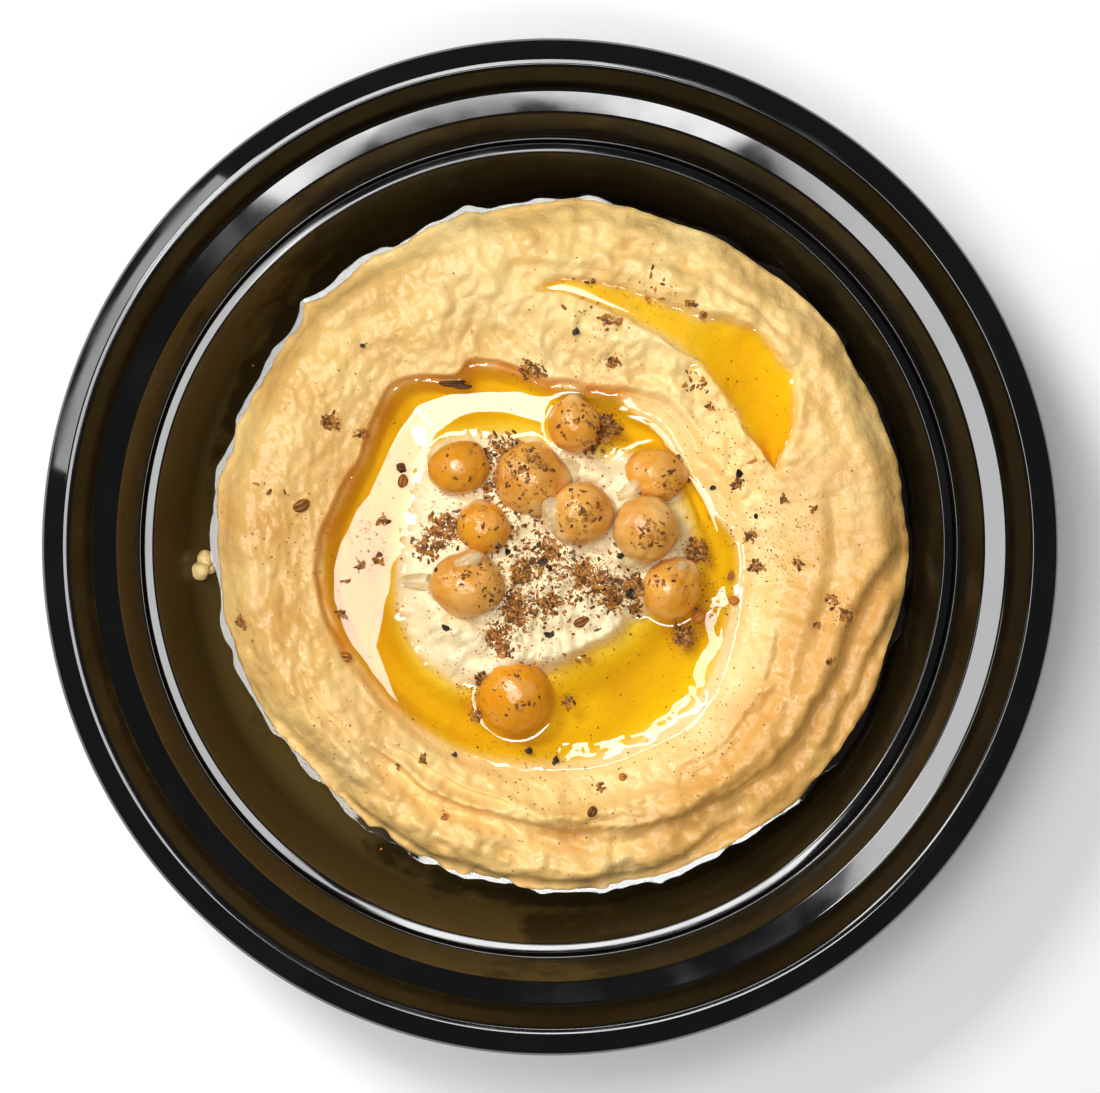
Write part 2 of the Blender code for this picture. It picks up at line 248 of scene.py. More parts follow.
class Spot:
    """Points of the dip, with what several of its features need to know about them."""

    def __init__(self, x, y):
        self.x, self.y = x, y
        self.radius, self.degrees = to_polar(x, y)
        self.arc = self.radius * np.radians(self.degrees)
        self.island, self.shore = island_at(self.degrees), shore_at(self.degrees)
        self.steep = steepness(self.degrees)
        self.wander = 0.9 * noise_at(x, y, 9.0, 3.1)
        self.slow = noise_at(x, y, 11.0, 7.7)
        self.lumps = noise_at(x, y, 4.2, 1.3)
        self.fine = noise_at(x, y, 1.5, 9.2)
        self.wet = ease(4, 18, self.degrees) * ease(66, 54, self.degrees)


def mound_height(at):
    """The mound with its lumps, and the fold and valley across its near side."""
    x, y = at.x, at.y
    mound = island_height(at.radius, at.degrees, at.island + 0.8 * at.wander)
    dry = ease(1.0, 0.75, at.radius / at.island) * ease(-30, -10, -np.abs(x - y - 12) + 6)
    mound = mound + (0.4 + 0.7 * dry) * at.lumps + 0.3 * at.slow + 0.22 * at.fine + 0.8 * dry
    mound = mound + (0.1 + 0.8 * dry) * np.abs(noise_at(x, y, 2.6, 4.1))
    fold = bell(0, 1.5, y + 20.5 - 0.02 * (x + 3) ** 2) * ease(-23, -17, x) * ease(17, 12, x)
    valley = bell(0, 1.6, y + 16.6 - 0.024 * (x + 1) ** 2) * ease(-20, -14, x) * ease(16, 10, x)
    return mound + 1.0 * fold - 0.8 * valley


def channel_height(at):
    """The dip under the oil, between the mound and the shore."""
    brink = at.shore - WET_WIDTH * at.wet
    share = (at.radius - at.island) / (brink - at.island)
    depth = WELL_DEPTH * np.minimum((at.shore - at.island) / 14, 1.0)
    down = ease(0.0, 0.45, share)
    up = ease(0.55 + 0.2 * at.steep, 1.0, share)
    foot = OIL_LEVEL - 0.85 + 0.1 * at.lumps
    channel = foot + (OIL_LEVEL - foot) * np.clip(share, 0, 1) - depth * down * (1 - up)
    channel = channel + 0.25 * at.slow * down * (1 - up)
    slope = WET_RISE * np.maximum(at.radius - brink, 0) * at.wet
    return channel + slope * (1 + 0.3 * at.lumps)


def ring_height(at):
    """The ring round the well: bank, crest, slope to the edge, creases and texture."""
    x, y, degrees = at.x, at.y, at.degrees
    past = at.radius - at.shore
    past = past - 0.4 * at.lumps * (1 - ease(0, 2.5, past))
    lip = 0.9 + 1.5 * at.steep
    bank = ease(0.0, 0.7 + 1.8 * (1 - at.steep) + 0.5, past) * lip
    hill = (CREST_HEIGHT - OIL_LEVEL - lip) * ease(0.0, 14.0, past)
    brow = 7.5 + 6.5 * bell(-90, 55, degrees)         # how far in the slope to the edge starts
    fall = (CREST_HEIGHT - EDGE_HEIGHT) * ease(brow, -0.5, dip_edge(degrees) - at.radius) ** 1.7
    terrace = (1.1 * ease(110, 103, degrees + 2 * at.wander)
               * ease(57, 54.5, at.radius + at.wander))
    terrace = terrace * ease(20, 60, degrees) * ease(0, 5, past)
    ring = OIL_LEVEL + bank + hill - fall - terrace
    ring = ring + WET_RISE * WET_WIDTH * at.wet * ease(7, 0, past)
    ring = ring + crease_relief(at.radius, degrees, at.wander * 0.6)

    rough = 0.35 + 0.65 * np.clip(bell(-90, 60, degrees) + bell(78, 42, degrees), 0, 1)
    bottom = bell(-80, 62, degrees) * ease(2, 9, past)
    strokes = noise_at(at.radius * 2.6, at.arc, 7.0, 5.5)
    ridges = noise_at(at.radius * 4.2, at.arc, 13.0, 4.4)
    relief = 0.45 * at.slow + 0.65 * at.lumps * rough + (0.5 * strokes + 1.1 * ridges) * bottom
    relief = relief + 0.7 * np.abs(noise_at(x, y, 3.1, 4.1)) * rough
    shelf = 1 - 0.75 * bell(-50, 50, degrees) * ease(10, 6, past)
    ring = ring + relief * ease(0, 4, past) * shelf
    grain = noise_at(at.radius * 0.75, at.arc, 2.4, 2.6)
    texture = 0.18 * at.fine + (0.05 + 0.2 * bottom) * grain
    texture = texture + 0.22 * noise_at(x, y, 2.6, 5.9) * (0.35 + 0.65 * rough)
    return ring + texture * ease(0, 3, past) * (0.3 + 0.7 * shelf)


def crescent_cut(at, ring):
    """The ring with the crescent's groove taken out of it."""
    cut = crescent_share(at.radius, at.degrees) + 0.05 * at.lumps
    ends = ease(20.5, 24, at.degrees) * ease(91.5, 87, at.degrees)
    deep = CRESCENT_DEPTH * (0.42 + 0.64 * ease(58, 44, at.degrees)) + CRESCENT_LIP
    bowl = 4 * cut * (1 - cut)
    groove = CRESCENT_OIL + CRESCENT_LIP - deep * np.sign(bowl) * np.abs(bowl) ** 0.6
    groove = groove + 3 * np.maximum(-bowl, 0) + 0.12 * at.lumps
    return ring - ends * np.maximum(ring - groove, 0)


def dip_height(x, y):
    """Height of the dip's top, with everything the spoon left on it."""
    at = Spot(x, y)
    ring = crescent_cut(at, ring_height(at))
    well = np.where(at.radius < at.island, mound_height(at), channel_height(at))
    return np.where(at.radius < at.shore, well, ring)


def ring_table(degrees):
    """Radii of the dip's rings at each angle; they follow each shore and the edge."""
    edge, inner = dip_edge(degrees), crescent_inner_at(degrees)
    outer = np.minimum(crescent_outer_at(degrees), edge - 4)
    stops = [degrees * 0 + 0.05, island_at(degrees), shore_at(degrees), shore_at(degrees) + 3,
             inner, outer, edge]
    rings = []
    for start, stop, count in zip(stops, stops[1:], DIP_COUNTS):
        rings += [start + (stop - start) * k / count for k in range(count)]
    return np.array(rings + [stops[-1]])


# ---- Meshes, materials and lights

def add_mesh(name, points, faces, smooth=True):
    mesh = bpy.data.meshes.new(name)
    mesh.from_pydata([tuple(p) for p in np.asarray(points, float) * MM], [], faces)
    mesh.update()
    if smooth:
        mesh.shade_smooth()
    obj = bpy.data.objects.new(name, mesh)
    bpy.context.scene.collection.objects.link(obj)
    return obj


def grid_faces(rows, columns):
    """Quads of a grid of points, row by row, with each row's ends joined."""
    faces = []
    for i in range(rows - 1):
        for j in range(columns):
            m = (j + 1) % columns
            faces.append((i * columns + m, (i + 1) * columns + m, (i + 1) * columns + j,
                          i * columns + j))
    return faces


def set_attribute(obj, name, values):
    held = obj.data.attributes.new(name, "FLOAT", "POINT")
    held.data.foreach_set("value", np.ascontiguousarray(np.ravel(values), np.float32))


def srgb(red, green, blue):
    """A linear colour from sRGB values of 0 to 255."""
    def linear(value):
        share = value / 255
        return share / 12.92 if share <= 0.04045 else ((share + 0.055) / 1.055) ** 2.4
    return (linear(red), linear(green), linear(blue), 1.0)


class Look:
    """A node material under construction, with short ways to add the usual nodes."""

    def __init__(self, name):
        self.material = bpy.data.materials.new(name)
        self.material.use_nodes = True
        self.tree = self.material.node_tree
        self.shader = self.tree.nodes["Principled BSDF"]
        self.output = self.tree.nodes["Material Output"]

    def node(self, kind, **settings):
        made = self.tree.nodes.new(kind)
        for key, value in settings.items():
            setattr(made, key, value)
        return made

    def link(self, source, target):
        self.tree.links.new(source, target)

    def feed(self, socket, source):
        self.link(source, self.shader.inputs[socket])

    def set(self, **values):
        for key, value in values.items():
            self.shader.inputs[key.replace("_", " ")].default_value = value

    def noise(self, scale, detail=2.0, roughness=0.5):
        """Noise over the object's own coordinates; scale is features to a metre."""
        place = self.node("ShaderNodeTexCoord").outputs["Object"]
        made = self.node("ShaderNodeTexNoise")
        made.inputs["Scale"].default_value = scale
        made.inputs["Detail"].default_value = detail
        made.inputs["Roughness"].default_value = roughness
        self.link(place, made.inputs["Vector"])
        return made.outputs["Fac"]

    def attribute(self, name):
        return self.node("ShaderNodeAttribute", attribute_name=name).outputs["Fac"]

    def ramp(self, source, stops):
        """A colour ramp over (position, colour) stops."""
        made = self.node("ShaderNodeValToRGB")
        band = made.color_ramp
        while len(band.elements) < len(stops):
            band.elements.new(0.5)
        for element, (position, colour) in zip(band.elements, stops):
            element.position = position
            element.color = colour
        self.link(source, made.inputs["Fac"])
        return made.outputs["Color"]

    def range(self, source, low, high, to_low, to_high):
        made = self.node("ShaderNodeMapRange")
        for key, value in (("From Min", low), ("From Max", high),
                           ("To Min", to_low), ("To Max", to_high)):
            made.inputs[key].default_value = value
        self.link(source, made.inputs["Value"])
        return made.outputs["Result"]

    def mix(self, factor, first, second, blend="MIX"):
        made = self.node("ShaderNodeMix", data_type="RGBA", blend_type=blend)
        for socket, value in ((0, factor), (6, first), (7, second)):    # factor, A and B
            target = made.inputs[socket]
            if isinstance(value, bpy.types.NodeSocket):
                self.link(value, target)
            else:
                target.default_value = value
        return made.outputs[2]

    def bump(self, height, strength, distance):
        made = self.node("ShaderNodeBump")
        made.inputs["Strength"].default_value = strength
        made.inputs["Distance"].default_value = distance
        self.link(height, made.inputs["Height"])
        self.feed("Normal", made.outputs["Normal"])


def plastic_look():
    look = Look("black plastic")
    look.set(IOR=1.6)
    smear_and_reflection = look.ramp(look.noise(45, 4, 0.6), [(0.52, srgb(6, 6, 7)), (0.75, srgb(16, 15, 13))])
    look.feed("Base Color", smear_and_reflection)
    greasy = look.range(look.noise(70, 3), 0.4, 0.8, 0.05, 0.16)
    look.feed("Roughness", greasy)
    return look.material


def wall_look():
    """The steep inner walls, with a painted brown reflection of the dip across from them."""
    look = Look("black plastic with painted reflection")
    look.set(IOR=1.16)
    blend = look.node("ShaderNodeMath", operation="MULTIPLY_ADD")
    look.link(look.noise(60, 5, 0.65), blend.inputs[0])
    blend.inputs[1].default_value = 0.7
    look.link(look.attribute("painted_wall_reflection"), blend.inputs[2])
    # Colours of the painted reflection: dark brown where it is weakest, lighter brown toward the
    # lower left.
    smear_and_reflection = look.ramp(blend.outputs[0], [(0.25, srgb(18, 14, 7)), (0.62, srgb(36, 28, 12)),
                                         (0.90, srgb(48, 38, 17)), (1.45, srgb(84, 67, 33))])
    look.feed("Base Color", smear_and_reflection)
    greasy = look.range(look.noise(90, 3), 0.4, 0.8, 0.15, 0.4)
    look.feed("Roughness", greasy)
    return look.material


def hummus_look(name="hummus", ior=1.45):
    look = Look(name)
    look.set(IOR=ior, Subsurface_Weight=0.12, Subsurface_Radius=(1.0, 0.5, 0.15),
             Subsurface_Scale=0.002)
    cream = look.ramp(look.noise(42, 4, 0.6), [(0.30, srgb(250, 208, 126)),
                                               (0.52, srgb(254, 219, 144)),
                                               (0.75, srgb(255, 227, 162))])
    # Painted shade: the cream turns darker and more orange where this attribute is high.
    toned = look.mix(look.attribute("painted_shade_and_tone"), cream, srgb(226, 172, 92))
    toned = look.mix(look.attribute("whiteness"), toned, srgb(253, 231, 184))
    depth = look.attribute("oil_depth")
    tint = look.ramp(look.range(depth, 0.0, 5.0, 0.0, 1.0), OIL_TINT)
    coloured = look.mix(1.0, toned, tint, "MULTIPLY")
    shaded = look.mix(look.attribute("shore_shade"), coloured, srgb(222, 138, 16))
    look.feed("Base Color", shaded)
    wet = look.range(look.noise(75, 4, 0.6), 0.40, 0.62, 0.12, 0.42)
    look.feed("Roughness", wet)
    look.bump(look.noise(380, 5, 0.6), 0.6, 0.0008)
    return look.material


# What a depth of oil, 0 to 5 mm as 0 to 1, leaves of the colour under it.
OIL_TINT = [
    (0.00, (1.0, 1.0, 1.0, 1.0)),
    (0.07, (0.97, 0.90, 0.50, 1.0)),
    (0.20, (0.94, 0.82, 0.08, 1.0)),
    (0.40, (0.90, 0.75, 0.001, 1.0)),
    (0.80, (0.86, 0.66, 0.0, 1.0)),
]


def oil_look():
    """Clear oil: what lies under it shows, already tinted, and its surface mirrors the lamps."""
    look = Look("olive oil")
    look.tree.nodes.remove(look.shader)
    clear = look.node("ShaderNodeBsdfTransparent")
    gloss = look.node("ShaderNodeBsdfGlossy")
    gloss.inputs["Color"].default_value = (1.0, 1.0, 0.97, 1.0)
    ripple = look.range(look.noise(120, 2), 0.3, 0.7, 0.02, 0.05)
    look.link(ripple, gloss.inputs["Roughness"])
    fresnel = look.node("ShaderNodeFresnel")
    fresnel.inputs["IOR"].default_value = 1.62
    mixed = look.node("ShaderNodeMixShader")
    capped = look.range(fresnel.outputs["Fac"], 0.0, 0.14, 0.0, 0.14)
    look.link(capped, mixed.inputs[0])
    look.link(clear.outputs["BSDF"], mixed.inputs[1])
    look.link(gloss.outputs["BSDF"], mixed.inputs[2])
    look.link(mixed.outputs["Shader"], look.output.inputs["Surface"])
    return look.material


def chickpea_look():
    look = Look("chickpea")
    look.set(IOR=1.5, Subsurface_Weight=0.2, Subsurface_Radius=(1.0, 0.45, 0.1),
             Subsurface_Scale=0.003)
    tan = look.ramp(look.noise(170, 4, 0.6), [(0.3, srgb(206, 134, 46)), (0.5, srgb(226, 164, 78)),
                                              (0.72, srgb(240, 194, 118))])
    golden = look.mix(look.attribute("oiled"), tan, srgb(226, 148, 14))
    paled = look.mix(look.attribute("pale"), golden, srgb(238, 200, 140))
    look.feed("Base Color", paled)
    wet = look.range(look.noise(260, 3), 0.35, 0.7, 0.02, 0.10)
    look.feed("Roughness", wet)
    look.bump(look.noise(240, 5, 0.6), 0.5, 0.0009)
    return look.material


def skin_look():
    look = Look("chickpea skin")
    look.set(IOR=1.45, Alpha=0.5, Subsurface_Weight=0.2, Subsurface_Radius=(1.0, 0.7, 0.4),
             Subsurface_Scale=0.002)
    pale = look.ramp(look.noise(400, 4), [(0.3, srgb(214, 178, 110)), (0.7, srgb(244, 226, 180))])
    look.feed("Base Color", pale)
    wet = look.range(look.noise(500, 2), 0.35, 0.7, 0.08, 0.25)
    look.feed("Roughness", wet)
    look.bump(look.noise(900, 3), 0.4, 0.0003)
    return look.material


def spice_look(name, dark, middle, light):
    """Bits of one kind: each bit has its own tone, and each is mottled a little."""
    look = Look(name)
    look.set(IOR=1.4)
    grain = look.noise(1500, 2)
    blend = look.node("ShaderNodeMath", operation="MULTIPLY_ADD")
    look.link(grain, blend.inputs[0])
    blend.inputs[1].default_value = 0.5
    look.link(look.attribute("tone"), blend.inputs[2])
    colour = look.ramp(blend.outputs[0], [(0.2, dark), (0.65, middle), (1.25, light)])
    look.feed("Base Color", colour)
    rough = look.range(look.noise(800, 2), 0.3, 0.7, 0.28, 0.6)
    look.feed("Roughness", rough)
    return look.material


def floor_look():
    look = Look("floor")
    pale = look.ramp(look.noise(6, 2), [(0.3, (0.97, 0.97, 0.97, 1)), (0.7, (0.99, 0.99, 0.99, 1))])
    look.feed("Base Color", pale)
    look.set(Roughness=0.7)
    return look.material


# ---- Bowl

def rounded(corners, detail):
    """The open line through corners (r, z, fillet radius), with so many pieces to a fillet."""
    line = [np.array(corners[0][:2])]
    for before, here, after in zip(corners, corners[1:], corners[2:]):
        point = np.array(here[:2])
        back = np.array(before[:2]) - point
        on = np.array(after[:2]) - point
        back, on = back / np.linalg.norm(back), on / np.linalg.norm(on)
        half = math.acos(np.clip(back @ on, -1, 1)) / 2
        centre = point + (back + on) / np.linalg.norm(back + on) * here[2] / math.sin(half)
        start = point + back * here[2] / math.tan(half) - centre
        stop = point + on * here[2] / math.tan(half) - centre
        first = math.atan2(start[1], start[0])
        sweep = (math.atan2(stop[1], stop[0]) - first + math.pi) % math.tau - math.pi
        for k in range(detail + 1):
            turn = first + sweep * k / detail
            line.append(centre + here[2] * np.array([math.cos(turn), math.sin(turn)]))
    line.append(np.array(corners[-1][:2]))
    return line


def offset(corners, distance):
    """The corners moved to the right of their line by distance, with the fillets to match."""
    points = [np.array(corner[:2]) for corner in corners]
    moved = []
    for k, point in enumerate(points):
        into = point - points[k - 1] if k else points[1] - point
        out = points[k + 1] - point if k + 1 < len(points) else into
        into, out = into / np.linalg.norm(into), out / np.linalg.norm(out)
        side_in, side_out = np.array([into[1], -into[0]]), np.array([out[1], -out[0]])
        middle = (side_in + side_out) / np.linalg.norm(side_in + side_out)
        shifted = point + middle * distance / (middle @ side_in)
        left_turn = into[0] * out[1] - into[1] * out[0] > 0
        fillet = corners[k][2] + (distance if left_turn else -distance)
        moved.append((*shifted, max(fillet, 0.3) if corners[k][2] else 0.0))
    return moved


BOWL_CORNERS = [
    (0.0, FLOOR_HEIGHT, 0.0),
    (FOOT_INNER - 2.0, FLOOR_HEIGHT, 1.5),
    (FOOT_INNER, FOOT_HEIGHT, 1.0),
    (66.4, FOOT_HEIGHT, 9.0),
    (73.4, 23.9, 0.5),
    (75.2, 23.76, 0.4),
    (76.3, 22.9, 0.4),
    (79.1, 36.2, 0.7),
    (83.5, 37.2, 1.0),
    (86.5, RIM_HEIGHT, 0.8),
    (87.9, RIM_HEIGHT, 0.8),
    (91.5, 42.6, 0.8),
    (RIM_RADIUS, 41.6, 0.5),
    (RIM_RADIUS, 40.2, 0.0),
]
BOWL_TURNS = 288
FILLET_PIECES = 7


def add_bowl():
    line = rounded(BOWL_CORNERS, FILLET_PIECES)
    line += rounded(offset(BOWL_CORNERS, BOWL_WALL), FILLET_PIECES)[::-1]
    profile = np.array(line)
    angle = np.linspace(0, math.tau, BOWL_TURNS, endpoint=False)
    # Thin plastic is never quite round: the wall wanders in by a few tenths below the rim.
    below = np.clip((RIM_HEIGHT - profile[:, 1]) / 12, 0, 1) * np.clip(profile[:, 0] / 70, 0, 1)
    inward = 0.12 * (1 + np.cos(2 * angle + 0.6)) + 0.08 * (1 + np.cos(5 * angle + 2))
    radius = profile[:, :1] - below[:, None] * inward[None, :]
    points = np.stack([radius * np.cos(angle), radius * np.sin(angle),
                       np.repeat(profile[:, 1:], BOWL_TURNS, axis=1)], axis=-1)
    faces = grid_faces(len(profile), BOWL_TURNS)
    bowl = add_mesh("bowl_shell", points.reshape(-1, 3), faces)
    bowl.data.materials.append(plastic_look())
    bowl.data.materials.append(wall_look())
    middle = (profile + np.roll(profile, -1, axis=0)) / 2
    slope = np.roll(profile, -1, axis=0) - profile
    steep = (slope[:, 1] > 0.9 * slope[:, 0]) & (slope[:, 1] > 0.05)
    cove = (middle[:, 0] > FOOT_INNER) & (middle[:, 0] < 73)
    walled = (steep | cove) & (np.arange(len(profile)) < len(profile) // 2)
    for face, polygon in enumerate(bowl.data.polygons):
        polygon.material_index = int(walled[face // BOWL_TURNS])
    # Painted reflection and shade on the walls: brighter toward the lower left, darker near the
    # floor and on the outer wall.
    faces_light = 0.42 + 0.48 * np.cos(angle - math.radians(200))
    painted_wall_reflection = faces_light[None, :] - 0.2 * ease(8.0, 2.0, profile[:, 1:])
    painted_wall_reflection = painted_wall_reflection - 0.4 * ease(80, 84, profile[:, :1])
    set_attribute(bowl, "painted_wall_reflection", np.clip(painted_wall_reflection, 0, 1))
    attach(bowl, "root")
    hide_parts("bowl")


# ---- Hummus and oil

DIP_TURNS = 600
DIP_ANGLES = np.linspace(-180, 180, DIP_TURNS, endpoint=False)
DIP_COUNTS = (34, 32, 12, 26, 18, 22)   # rings in each belt, from the middle outward
SIDE_RINGS = 9
FILM = 0.26            # how thick oil clings where the dip just breaks the surface
FILM_END = 0.08        # the film stops where it is thinner than this
CLIMB = 0.45           # how high oil climbs a chickpea
CLIMB_REACH = 0.6      # how far from the chickpea that starts
UNDER_OIL = 0.3        # the dip is dull where oil is deeper than this over it
BULGE = 0.35           # how far the dip's side swells past its edge
SIDE_FOOT = 1.4        # height at which the dip's side ends


def wall_radius(height):
    """Inner radius of the bowl's cove and lower wall at a height."""
    cove = [p for p in rounded(BOWL_CORNERS, 6) if p[0] > 59.5]
    return np.interp(height, [p[1] for p in cove], [p[0] for p in cove])


def kept_inside(x, y, z, clearance=0.35):
    across = np.hypot(x, y)
    limit = wall_radius(z) - clearance
    shrink = np.minimum(1.0, limit / np.maximum(across, 1e-6))
    return x * shrink, y * shrink


# Where the oil ramps up towards the island: it mirrors the lamps between these radii.
RAMP_OUTER = [(75, 30.6), (90, 31.5), (100, 32.8), (112, 34.4), (127, 37.2), (137, 35.7),
              (145, 34.9), (157, 34.3), (167, 35.6), (176, 37.4), (190, 38.6), (199, 38.0),
              (208, 37.2), (222, 37.4), (250, 37.6), (270, 37.2), (290, 37.0)]
RAMP_INNER = [(75, 25.6), (90, 27.0), (100, 28.6), (112, 31.0), (127, 31.5), (137, 30.2),
              (145, 28.8), (157, 26.7), (167, 26.0), (176, 26.4), (190, 28.0), (199, 30.8),
              (208, 34.0), (222, 36.0), (250, 36.6), (270, 36.2), (290, 36.0)]
RAMP_SLOPE = [(75, 0.048), (100, 0.050), (116, 0.062), (135, 0.078), (160, 0.090),
              (200, 0.085), (222, 0.075), (290, 0.075)]

# How far inside the shore the oil starts to climb to it at the lower right.
RIM_REACH = [(-90, 4.3), (-75, 4.0), (-58, 3.4), (-41, 3.6), (-30, 4.9), (-8, 5.0)]
RIM_WIDTH = 3.3
RIM_SLOPE = 0.14
BRINK_SLOPE = 0.17    # of the thin bright line along the wet slope


def along(knots, degrees):
    """The value at an angle, straight between (angle, value) knots."""
    return np.interp(degrees, [a for a, _ in knots], [v for _, v in knots])


def swell(x, y):
    """How far the oil stands off its level: a gentle ramp up to the island at the left and
    top, where it mirrors the lamps, and another up to the shore at the lower right."""
    radius, degrees = to_polar(x, y)
    turn = degrees % 360
    wobble = 0.35 * noise_at(x, y, 5.0, 6.6)
    outer, inner, slope = (along(knots, turn) for knots in (RAMP_OUTER, RAMP_INNER, RAMP_SLOPE))
    left = ease(70, 78, turn) * ease(290, 262, turn)
    ramp = np.clip(outer + wobble - radius, 0, outer - inner) * slope
    ramp = ramp * ease(14, 0, inner - radius)
    from_shore = shore_at(degrees) - radius
    rim = ease(-90, -76, degrees) * ease(-5, -13, degrees)
    uneven = 0.9 * noise_at(x, y, 5.0, 2.2) + 0.5 * noise_at(x, y, 1.8, 2.9)
    reach = along(RIM_REACH, degrees) + uneven
    climb = np.clip(reach - from_shore, 0, RIM_WIDTH) * RIM_SLOPE
    line = ease(6, 12, degrees) * ease(64, 58, degrees)
    width = 0.6 + 0.9 * bell(50, 9, degrees)
    lift = np.clip(WET_WIDTH + width + 0.2 - from_shore, 0, width) * BRINK_SLOPE
    return left * ramp + rim * climb + line * lift


def pea_shares(x, y, centre, half, turn):
    """How far out in a chickpea's outline, along its two level axes: 1 is at its outline."""
    angle = math.radians(turn)
    dx, dy = x - centre[0], y - centre[1]
    return ((dx * math.cos(angle) + dy * math.sin(angle)) / half[0],
            (dy * math.cos(angle) - dx * math.sin(angle)) / half[1])


def pea_distance(x, y):
    """Distance outside the nearest chickpea's outline."""
    nearest = np.full(np.shape(x), FAR)
    for centre, half, turn, _ in CHICKPEAS:
        u, v = pea_shares(x, y, centre, half, turn)
        nearest = np.minimum(nearest, (np.hypot(u, v) - 1) * (half[0] + half[1]) / 2)
    return nearest


def wetted(level, ground):
    """The surface of oil at a level, thinning to a film where the ground breaks it."""
    gap = level - ground
    return ground + 0.5 * (gap + np.sqrt(gap**2 + FILM**2))


def oil_top(x, y, ground):
    """Height of the well's oil: level, but for its swell and where it climbs a chickpea."""
    climb = CLIMB * np.exp(-np.maximum(pea_distance(x, y), 0) / CLIMB_REACH)
    return wetted(OIL_LEVEL + swell(x, y) + climb, ground)


def crescent_top(x, y, ground):
    """Height of the crescent's oil; x and y are there so that it is called like oil_top."""
    return wetted(CRESCENT_OIL, ground)


def near_crescent(x, y):
    radius, degrees = to_polar(x, y)
    inner, outer = crescent_inner_at(degrees), crescent_outer_at(degrees)
    return ((degrees > CRESCENT_SPAN[0] - 1.5) & (degrees < CRESCENT_SPAN[1] + 3)
            & (radius > inner - 1.2) & (radius < outer + 1.2))


def in_well(x, y):
    radius, degrees = to_polar(x, y)
    return radius < shore_at(degrees) + 0.3 + 3.0 * ease(0.75, 0.2, steepness(degrees))


def add_dip():
    degrees = DIP_ANGLES
    radii = ring_table(degrees)
    near_edge = ease(3.0, 0.0, radii[-1] - radii)
    radii = radii + near_edge * ragged(degrees)
    x, y = from_polar(radii, degrees[None, :])
    z = dip_height(x, y)
    depth = np.where(in_well(x, y), OIL_LEVEL - z, 0) + np.where(
        near_crescent(x, y), CRESCENT_OIL - z, 0)
    top_rows = len(radii)
    side_x, side_y, side_z = [x], [y], [z]
    for k in range(1, SIDE_RINGS + 1):
        share = k / SIDE_RINGS
        height = z[-1] * (1 - share) + SIDE_FOOT * share
        bulge = BULGE * math.sin(math.pi * min(share * 1.4, 1.0)) - 2.2 * share**3
        px, py = from_polar(radii[-1] + bulge, degrees)
        side_x.append(px[None])
        side_y.append(py[None])
        side_z.append(height[None])
    x, y, z = (np.concatenate(part) for part in (side_x, side_y, side_z))
    x, y = kept_inside(x, y, z)
    faces = grid_faces(len(x), DIP_TURNS)
    faces.append(tuple(range(DIP_TURNS))[::-1])
    dip = add_mesh("hummus_dip", np.stack([x, y, z], -1).reshape(-1, 3), faces)
    full = np.zeros(x.shape)
    full[:top_rows] = np.maximum(depth, 0)
    set_attribute(dip, "oil_depth", full)
    radius, turn = to_polar(x, y)
    # Painted shade: the ring's outer part is darker and more orange at the lower right, away from
    # the key lamp. It is also deeper in tone at the left, with random patches.
    away = bell(-30, 56, turn) * (1 - 0.8 * near_crescent(x, y)) * ease(40, 52, radius)
    painted_shade_and_tone = (0.12 + 0.5 * bell(180, 60, turn % 360) + 0.95 * away
                 + 0.25 * noise_at(x, y, 9.0, 8.1))
    set_attribute(dip, "painted_shade_and_tone", np.clip(painted_shade_and_tone, 0, 1))
    patchy = 0.6 + 0.5 * noise_at(x, y, 5.0, 3.7)
    band = bell(0.0, 1.3, radius - shore_at(turn)) * patchy
    band = band * (0.1 + 0.9 * ease(0.3, 0.8, steepness(turn)))
    set_attribute(dip, "shore_shade", np.clip(0.95 * band, 0, 0.85))
    set_attribute(dip, "whiteness", ease(1.05, 0.85, radius / island_at(turn)))
    dip.data.materials.append(hummus_look())
    dip.data.materials.append(hummus_look("hummus under oil", 1.05))
    flooded = full.reshape(-1) > UNDER_OIL
    for polygon in dip.data.polygons:
        polygon.material_index = int(flooded[polygon.vertices[0]])
    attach(dip, "root")
    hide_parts("hummus")
    return dip


def add_oil(name, node, belongs, top, look):
    """A clear skin over a pool, down to where its film runs out."""
    degrees = DIP_ANGLES
    radii = ring_table(degrees)
    x, y = from_polar(radii, degrees[None, :])
    ground = dip_height(x, y)
    z = top(x, y, ground)
    keep = (belongs(x, y) & (z - ground > FILM_END)).reshape(-1)
    faces = [f for f in grid_faces(len(radii), DIP_TURNS) if all(keep[k] for k in f)]
    used = np.unique(np.array(faces))
    renumber = {old: new for new, old in enumerate(used)}
    points = np.stack([x, y, z + 0.02], -1).reshape(-1, 3)[used]
    oil = add_mesh(name, points, [tuple(renumber[k] for k in f) for f in faces])
    oil.data.materials.append(look)
    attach(oil, "root")
    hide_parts(node)


# ---- Chickpeas

# How golden the oil has left each chickpea: those sunk in it are deepest.
OILED = (0.45, 0.8, 0.2, 0.1, 0.8, 0.5, 0.0, 0.65, 0.25, 0.95)


